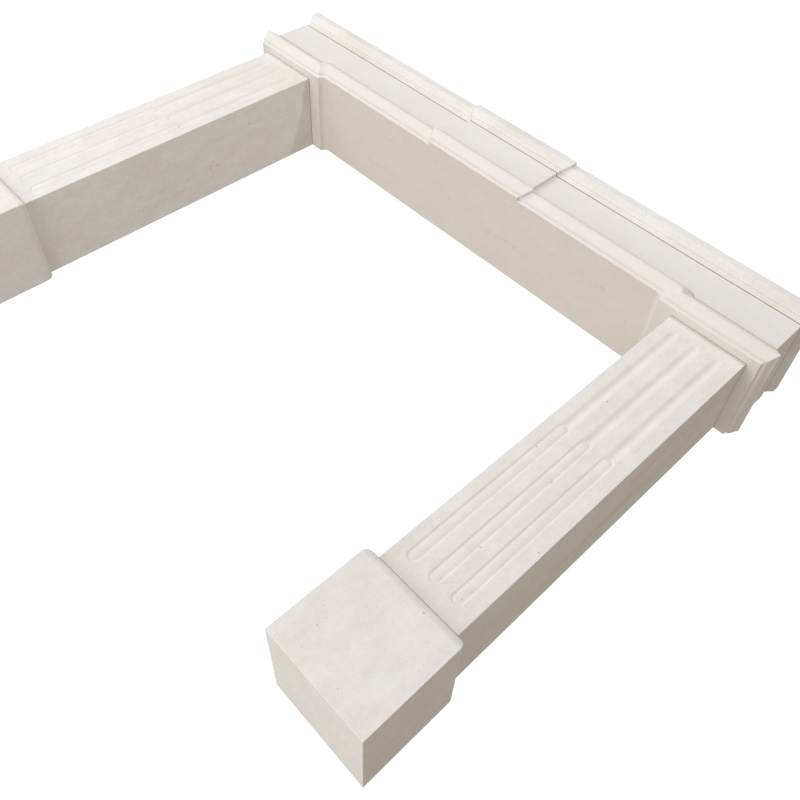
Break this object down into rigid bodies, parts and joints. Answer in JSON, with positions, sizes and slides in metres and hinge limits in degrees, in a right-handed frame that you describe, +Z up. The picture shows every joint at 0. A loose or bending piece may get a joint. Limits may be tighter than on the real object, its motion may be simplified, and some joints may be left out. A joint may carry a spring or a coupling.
{
  "type": "fireplace mantelpiece",
  "caption": "Carved stone fireplace surround with fluted pilasters on plinths, a moulded lintel with capitals and a stepped middle, and a moulded shelf.",
  "frame": {"origin": "on the hearth, at the middle of the width and of the depth", "axes": "+Z up, the moulded front faces -Y, the flat back that meets the wall faces +Y, +X to the right as seen from the front"},
  "size_m": [1.546, 0.2434, 1.181],
  "materials": {
    "plinth_stone": "honed limestone, warm grey-white, with a few small pits",
    "shaft_stone": "honed limestone, pale, with faint upright bedding and small pits",
    "lintel_stone": "honed limestone, cool grey-white frieze and creamier moulding",
    "shelf_stone": "honed limestone, creamy white"
  },
  "bodies": {
    "root": {"plinth_left": "plinth_stone", "plinth_right": "plinth_stone", "shaft_left": "shaft_stone", "shaft_right": "shaft_stone", "lintel": "lintel_stone", "mantel_shelf": "shelf_stone"}
  },
  "joints": []
}
